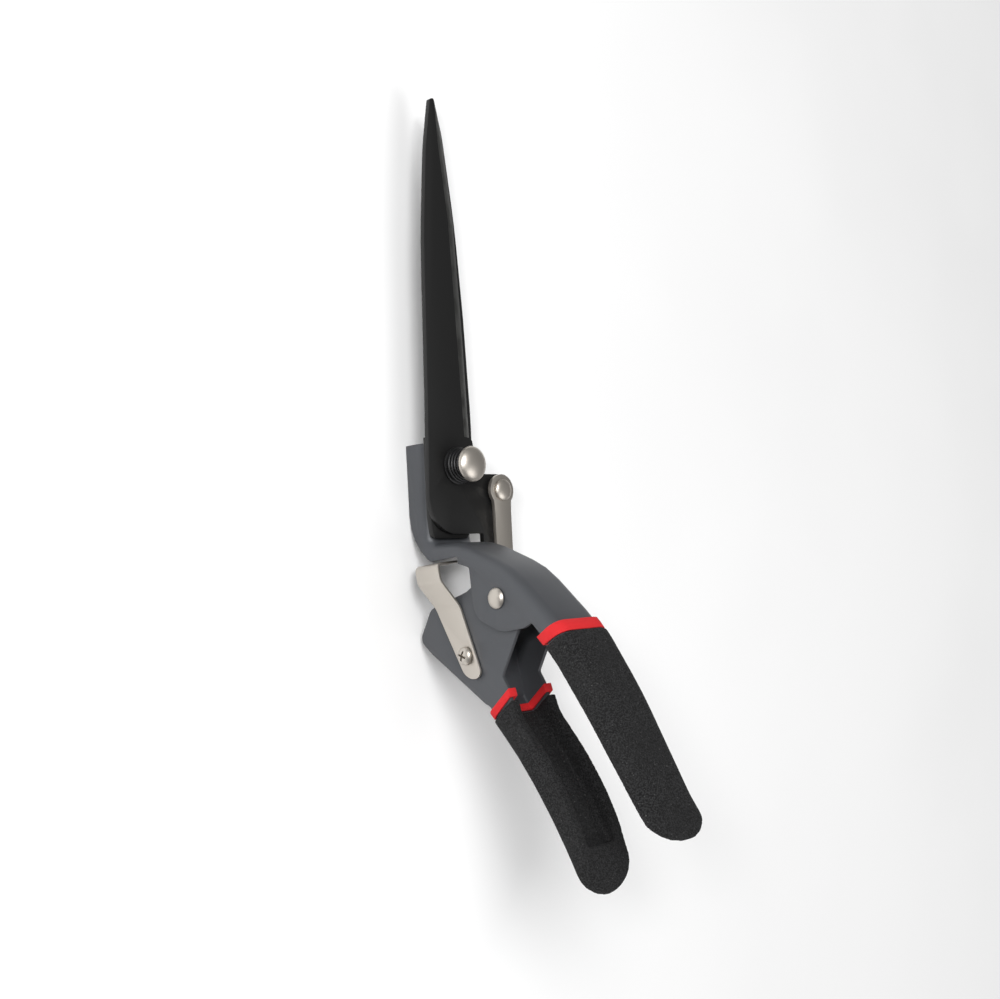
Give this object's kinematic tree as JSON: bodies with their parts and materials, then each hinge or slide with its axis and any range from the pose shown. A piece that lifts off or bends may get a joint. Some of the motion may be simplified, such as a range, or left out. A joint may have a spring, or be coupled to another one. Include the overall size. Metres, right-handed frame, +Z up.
{
  "type": "grass shears",
  "caption": "One-hand grass shears: a pressed-steel handle channel, two long blades that cut sideways, a squeezed lever with a link, and a swing latch.",
  "frame": {"origin": "middle of the underside of the whole tool, as it lies with its head channel and lever plates on a table", "axes": "+Y along the blades towards the tips, +Z up off the flat of the blades towards the upper handle, +X across the tool towards the link"},
  "size_m": [0.046, 0.3132, 0.1228],
  "materials": {
    "grey_paint": "semi-gloss dark grey powder paint",
    "blade_coat": "satin black non-stick coating",
    "nickel": "satin nickel plate",
    "black_steel": "blackened spring steel",
    "red_coat": "glossy red dipped vinyl",
    "foam": "matt black foamed vinyl"
  },
  "bodies": {
    "frame": {"frame": "grey_paint", "upper_grip_band": "red_coat", "upper_grip": "foam", "fixed_blade": "blade_coat", "blade_rivet_1": "nickel", "blade_rivet_2": "nickel", "pivot_bolt": "nickel", "pivot_spring": "black_steel", "pivot_washer": "nickel", "pivot_nut_washer": "nickel", "pivot_nut": "nickel", "lever_rivet": "nickel", "return_spring": "black_steel"},
    "lever": {"lever": "grey_paint", "lower_grip_band": "red_coat", "lower_grip": "foam", "lever_bush": "nickel", "link_foot_rivet": "nickel", "latch_screw": "nickel", "latch_washer": "nickel", "latch_nut": "nickel"},
    "moving_blade": {"moving_blade": "blade_coat", "link_washer": "nickel", "link_rivet": "nickel"},
    "link": {"link": "nickel"},
    "latch": {"latch": "nickel"}
  },
  "joints": [
    {"name": "lever_hinge", "type": "hinge", "parent": "frame", "child": "lever", "pos_m": [-0.00597, -0.04852, 0.0477], "axis": [1, 0, 0], "range_deg": [0, 21.3]},
    {"name": "blade_hinge", "type": "hinge", "parent": "frame", "child": "moving_blade", "pos_m": [-0.00597, 0.00498, 0.0164], "axis": [0, 0, 1], "range_deg": [0, 25.2]},
    {"name": "link_hinge", "type": "hinge", "parent": "moving_blade", "child": "link", "pos_m": [0.01603, -0.00482, 0.0186], "axis": [0, 0, 1], "range_deg": [-27.8, 0]},
    {"name": "latch_hinge", "type": "hinge", "parent": "lever", "child": "latch", "pos_m": [-0.01747, -0.07032, 0.0288], "axis": [1, 0, 0], "range_deg": [-150.5, 0]}
  ],
  "couplings": [
    {"joint": "blade_hinge", "follows": "lever_hinge", "ratio": 1.1737},
    {"joint": "link_hinge", "follows": "lever_hinge", "ratio": -1.2864},
    {"joint": "latch_hinge", "follows": "lever_hinge", "ratio": -7.0423}
  ]
}
